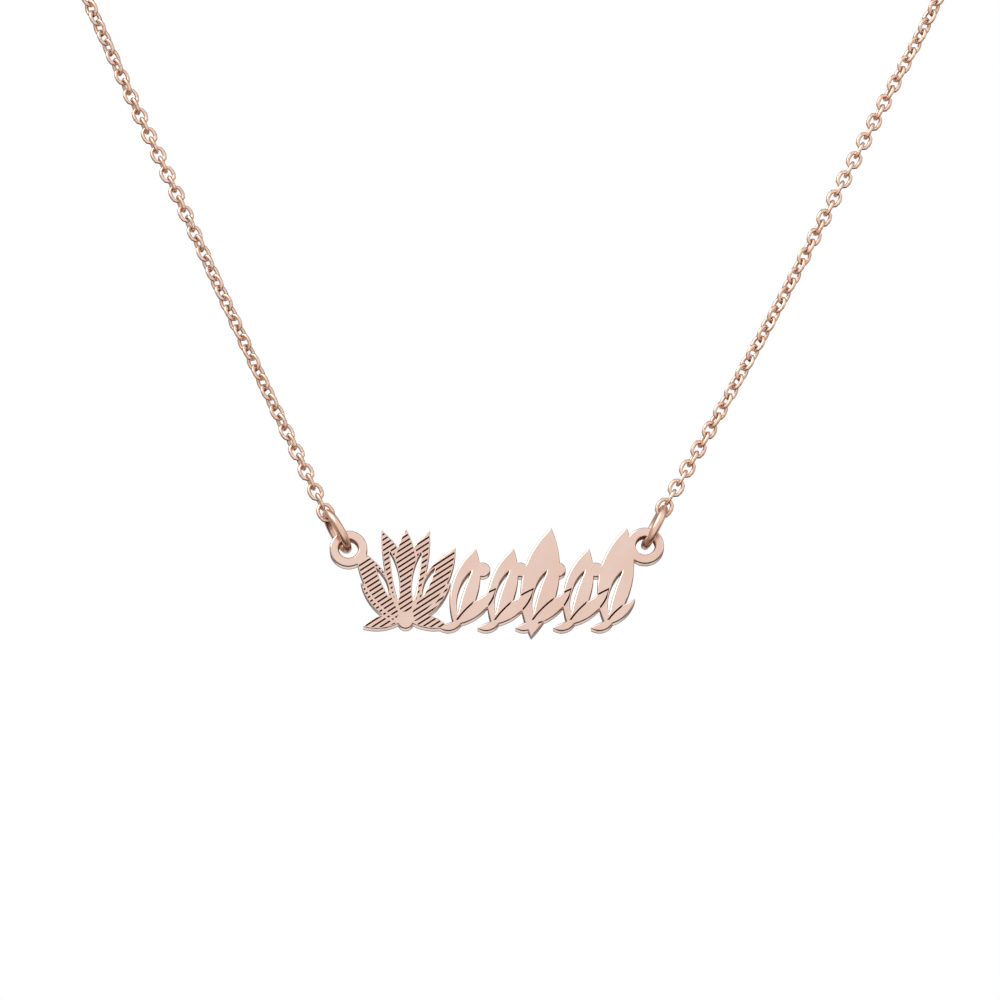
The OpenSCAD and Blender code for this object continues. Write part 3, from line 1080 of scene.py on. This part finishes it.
@dataclass(frozen=True)
class RoseGold:
    """Polished rose gold plate.

    Attributes:
        name: Name of the material.
        light: Colour of the metal, linear.
        warm: Colour of the metal where its alloy is a little redder.
        roughness: Lowest and highest roughness.
        cloud_mm: Size of the polish's clouds.
        wave_mm: Height of the polish's waves.
        hairlines: Strength of the hairlines, from 0 to 1.
        shade_paint: Reach and strength of the painted shade where wires touch, in eyelet holes and
            along the plate's edges.
        seam: Place and width of a closed wire's seam; None on a piece without one.
        shade_and_seam: Colour of the painted shade and of the seam, linear.
    """

    name: str
    light: tuple[float, float, float]
    warm: tuple[float, float, float]
    shade_paint: tuple[float, float]
    roughness: tuple[float, float] = (0.16, 0.26)
    cloud_mm: float = 6.0
    wave_mm: float = 0.02
    hairlines: float = 0.5
    seam: tuple[float, float] | None = None
    shade_and_seam: tuple[float, float, float] = (0.045, 0.010, 0.006)

    def material(self, groups: Groups) -> bpy.types.Material:
        """Builds the material.

        Args:
            groups: The shared node groups.

        Returns:
            The material, with its own Principled shader.
        """
        made, t = cleared(bpy.data.materials.new(self.name))
        polish = t.node("Group", {"Cloud Size": self.cloud_mm, "Hairlines": self.hairlines},
                        node_tree=groups.polish)
        cloud = t.span(polish.outputs["Cloud"], 0.35, 0.65)
        colour = t.mix(cloud, (*self.light, 1), (*self.warm, 1))
        rough = t.span(polish.outputs["Cloud"], 0.3, 0.7, *self.roughness)
        rough = t.math("ADD", rough, t.math("MULTIPLY", polish.outputs["Lines"], 0.12))
        # painted shade: the colour darkens, and the roughness rises, where the vertex share of
        # painted shade is high
        reach, strength = self.shade_paint
        shade_and_seam = t.node("Group", {"Reach": reach, "Strength": strength}, node_tree=groups.shade_paint)
        colour = t.mix(shade_and_seam.outputs["Mask"], colour, (*self.shade_and_seam, 1))
        rough = t.math("ADD", rough, t.math("MULTIPLY", shade_and_seam.outputs["Mask"], 0.2))
        if self.seam:
            place, width = self.seam
            seam = t.node("Group", {"Place": place, "Width": width}, node_tree=groups.seam)
            colour = t.mix(seam.outputs["Mask"], colour, (*self.shade_and_seam, 1))
        bump = t.node("Bump", {"Strength": 1.0, "Distance": self.wave_mm * MM,
                               "Height": polish.outputs["Height"]})
        shader = t.node("BsdfPrincipled", {"Base Color": colour, "Roughness": rough,
                                           "Normal": bump.outputs[0], "Metallic": 1.0})
        t.node("OutputMaterial", {"Surface": shader.outputs[0]})
        return made


@dataclass(frozen=True)
class Oxidised:
    """Dark, matte ground of the engraved lines.

    Attributes:
        name: Name of the material.
        deep: Its darkest colour, linear.
        worn: Its colour where it is worn.
        roughness: Its roughness.
        gloss: Strength of its mirroring.
    """

    name: str = "engraved_ground"
    deep: tuple[float, float, float] = (0.075, 0.003, 0.001)
    worn: tuple[float, float, float] = (0.14, 0.011, 0.003)
    roughness: float = 0.7
    gloss: float = 0.04

    def material(self) -> bpy.types.Material:
        """Builds the material: two dark browns in fine patches."""
        made, t = cleared(bpy.data.materials.new(self.name))
        place = t.node("TexCoord").outputs["Object"]
        patch = t.span(t.noise(place, 1800.0, 3.0), 0.4, 0.65)
        colour = t.mix(patch, (*self.deep, 1), (*self.worn, 1))
        shader = t.node("BsdfPrincipled", {"Base Color": colour, "Roughness": self.roughness,
                                           "Specular IOR Level": self.gloss})
        t.node("OutputMaterial", {"Surface": shader.outputs[0]})
        return made


# Studio


def aimed(data: bpy.types.Camera | bpy.types.Light, at: Vector,
          way: Vector) -> bpy.types.Object:
    """Puts a camera or light into the scene, at a place in metres, looking along a vector."""
    made = bpy.data.objects.new(data.name, data)
    made.location = at
    made.rotation_mode = "QUATERNION"
    made.rotation_quaternion = way.to_track_quat("-Z", "Y")
    bpy.context.scene.collection.objects.link(made)
    return made


@dataclass(frozen=True)
class Studio:
    """A white studio: soft light all round, a pale floor, and the photograph's camera.

    Attributes:
        aim: Where the camera looks.
        distance: The camera's distance from there.
        elevation: Degrees by which it stands above that place.
        frame_width: Width of the picture there.
        sensor: Width of the camera's sensor.
        floor_z: Height of the floor.
        floor_half: Half the floor's side.
        clip: Nearest and farthest that the camera sees, in metres.
    """

    aim: tuple[float, float, float] = (0.3, -50.0, -95.65)
    distance: float = 1000.0
    elevation: float = -18.0
    frame_width: float = 125.0
    sensor: float = 36.0
    floor_z: float = -1600.0
    floor_half: float = 6000.0
    clip: tuple[float, float] = (0.05, 30.0)

    def camera(self) -> None:
        """A long lens, a little below the plate and looking up at it."""
        a = math.radians(self.elevation)
        away = Vector((0, -math.cos(a), math.sin(a)))
        data = bpy.data.cameras.new("camera")
        data.sensor_width = self.sensor
        data.lens = self.sensor * self.distance / self.frame_width
        data.clip_start, data.clip_end = self.clip
        at = (Vector(self.aim) + away * self.distance) * MM
        bpy.context.scene.camera = aimed(data, at, -away)

    def floor(self) -> None:
        """A plain pale floor well below the necklace, which hangs as on a neck."""
        half, z = self.floor_half, self.floor_z
        made = make_mesh("floor", np.array(
            [(-half, -half, z), (half, -half, z), (half, half, z), (-half, half, z)]),
            [np.array([(0, 1, 2, 3)])])
        paint = bpy.data.materials.new("pale_floor")
        paint.use_nodes = True
        shader = paint.node_tree.nodes["Principled BSDF"]
        shader.inputs["Base Color"].default_value = (0.86, 0.85, 0.84, 1)
        shader.inputs["Roughness"].default_value = 0.9
        made.data.materials.append(paint)
        made.visible_glossy = False

    def world(self) -> None:
        """Soft light from all sides, as a tent gives it.

        The tent is bright in front, where the plate's face looks, and low behind; grey high up
        behind and at both sides; and a warm dark below and behind, which draws the thin dark
        line along the plate's lower edges. The camera itself sees plain white.
        """
        bpy.context.scene.world, t = cleared(bpy.data.worlds.new("tent"))
        way = t.node("SeparateXYZ", {0: t.node("TexCoord").outputs["Generated"]}).outputs
        front = t.span(way[1], 0.25, -0.35)
        low = t.span(way[2], 0.12, -0.2)
        bright = t.math("MAXIMUM", front, low)
        grey, white, warm_grey = (0.22, 0.21, 0.21, 1), (0.92, 0.92, 0.93, 1), (0.44, 0.39, 0.36, 1)
        warm_dark, backdrop = (0.02, 0.006, 0.003, 1), (1, 1, 1, 1)
        side = t.span(t.math("ABSOLUTE", way[0]), 0.5, 0.9)
        tent = t.mix(side, t.mix(bright, grey, white), warm_grey)
        below = t.math("MULTIPLY", t.span(way[2], -0.36, -0.5), t.span(way[1], -0.48, -0.18))
        seen = t.node("LightPath").outputs["Is Camera Ray"]
        colour = t.mix(seen, t.mix(below, tent, warm_dark), backdrop)
        glow = t.node("Background", {"Color": colour, "Strength": 1.0})
        t.node("OutputWorld", {"Surface": glow.outputs[0]})

    def softbox(self, name: str, at: tuple[float, float, float], size: float,
                watts: float) -> None:
        """A square soft light that looks at the plate.

        Args:
            name: Name of the light.
            at: Its place, in metres.
            size: Its side, in metres.
            watts: Its power.
        """
        data = bpy.data.lights.new(name, "AREA")
        data.size, data.energy = size, watts
        made = aimed(data, Vector(at), Vector(self.aim) * MM - Vector(at))
        made.visible_camera = False

    def build(self) -> None:
        """Sets up camera, floor, light and plain colours."""
        self.camera()
        self.floor()
        self.world()
        self.softbox("key", (-0.9, -0.7, 0.9), 1.1, 12.0)
        self.softbox("fill", (1.1, -0.5, 0.2), 1.0, 2.0)
        view = bpy.context.scene.view_settings
        view.view_transform, view.look = "Standard", "None"


# Where each strand passes on its way to the nape: straight up in front, then back round the neck
LEFT_ROUTE = [
    (-22.9, -50, -94.3), (-25.3, -50, -89.1), (-28.4, -50, -82.5), (-34.4, -50, -69.1),
    (-40.3, -50, -55.7), (-46.4, -50, -42.2), (-52.3, -50, -28.6), (-56, -47.5, -18),
    (-57, -39.5, -9.5), (-53.5, -28, -4.5), (-45, -16.5, -2), (-31.5, -7, -0.5), (-15, -1, 0)]
RIGHT_ROUTE = [
    (22.2, -50, -94.3), (25.1, -50, -89.1), (28.7, -50, -82.5), (35.8, -50, -69.1),
    (42.5, -50, -55.7), (49.3, -50, -42.2), (56.1, -50, -28.6), (59.5, -47.5, -18),
    (60, -39.5, -9.5), (56, -28, -4.5), (46.5, -16.5, -2), (32.5, -7, -0.5), (17, -1, 0)]


def main() -> None:
    """Builds the necklace in its studio and reports each piece."""
    logging.basicConfig(level=logging.INFO, format="%(message)s", stream=sys.stdout)
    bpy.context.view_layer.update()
    Studio().build()
    groups = Groups.make()
    # the last colour given to each gold is its painted shade, which also colours the seam of a ring
    # or link
    plate = RoseGold("plate_gold", (0.88, 0.66, 0.56), (0.85, 0.61, 0.505), (0.9, 0.9),
                     shade_and_seam=(0.15, 0.035, 0.017)).material(groups)
    ring = RoseGold("ring_gold", (0.92, 0.635, 0.495), (0.86, 0.56, 0.42), (0.4, 0.35),
                    roughness=(0.33, 0.43), cloud_mm=2.0, wave_mm=0.015,
                    seam=(0.31, 0.002)).material(groups)
    links = RoseGold("link_gold", (0.94, 0.67, 0.53), (0.89, 0.60, 0.45), (0.65, 0.85),
                     roughness=(0.28, 0.4), cloud_mm=3.0, wave_mm=0.006, seam=(0.5, 0.006),
                     shade_and_seam=(0.11, 0.025, 0.01)).material(groups)
    eyelets = Eyelet((-18.6, -50, -102.2)), Eyelet((18.4, -50, -101.8))
    Nameplate(eyelets).build([plate, Oxidised().material()])
    left = JumpRing(eyelets[0], lean=-31, opened=3)
    right = JumpRing(eyelets[1], lean=25, opened=11)
    left.build("jump_ring_left", [ring])
    right.build("jump_ring_right", [ring])
    nape = Nape()
    nape.build([ring])
    hook = Link().hook
    left_end = nape.end_x - (nape.end_d / 2 - nape.end_wire) + hook
    right_end = nape.tail_x + nape.tail_d / 2 - nape.tail_wire - hook
    Strand("chain_left", left, LEFT_ROUTE, left_end, (0, 1, 0)).build([links])
    Strand("chain_right", right, RIGHT_ROUTE, right_end, (0, 0, 1)).build([links])


if __name__ == "__main__":
    main()
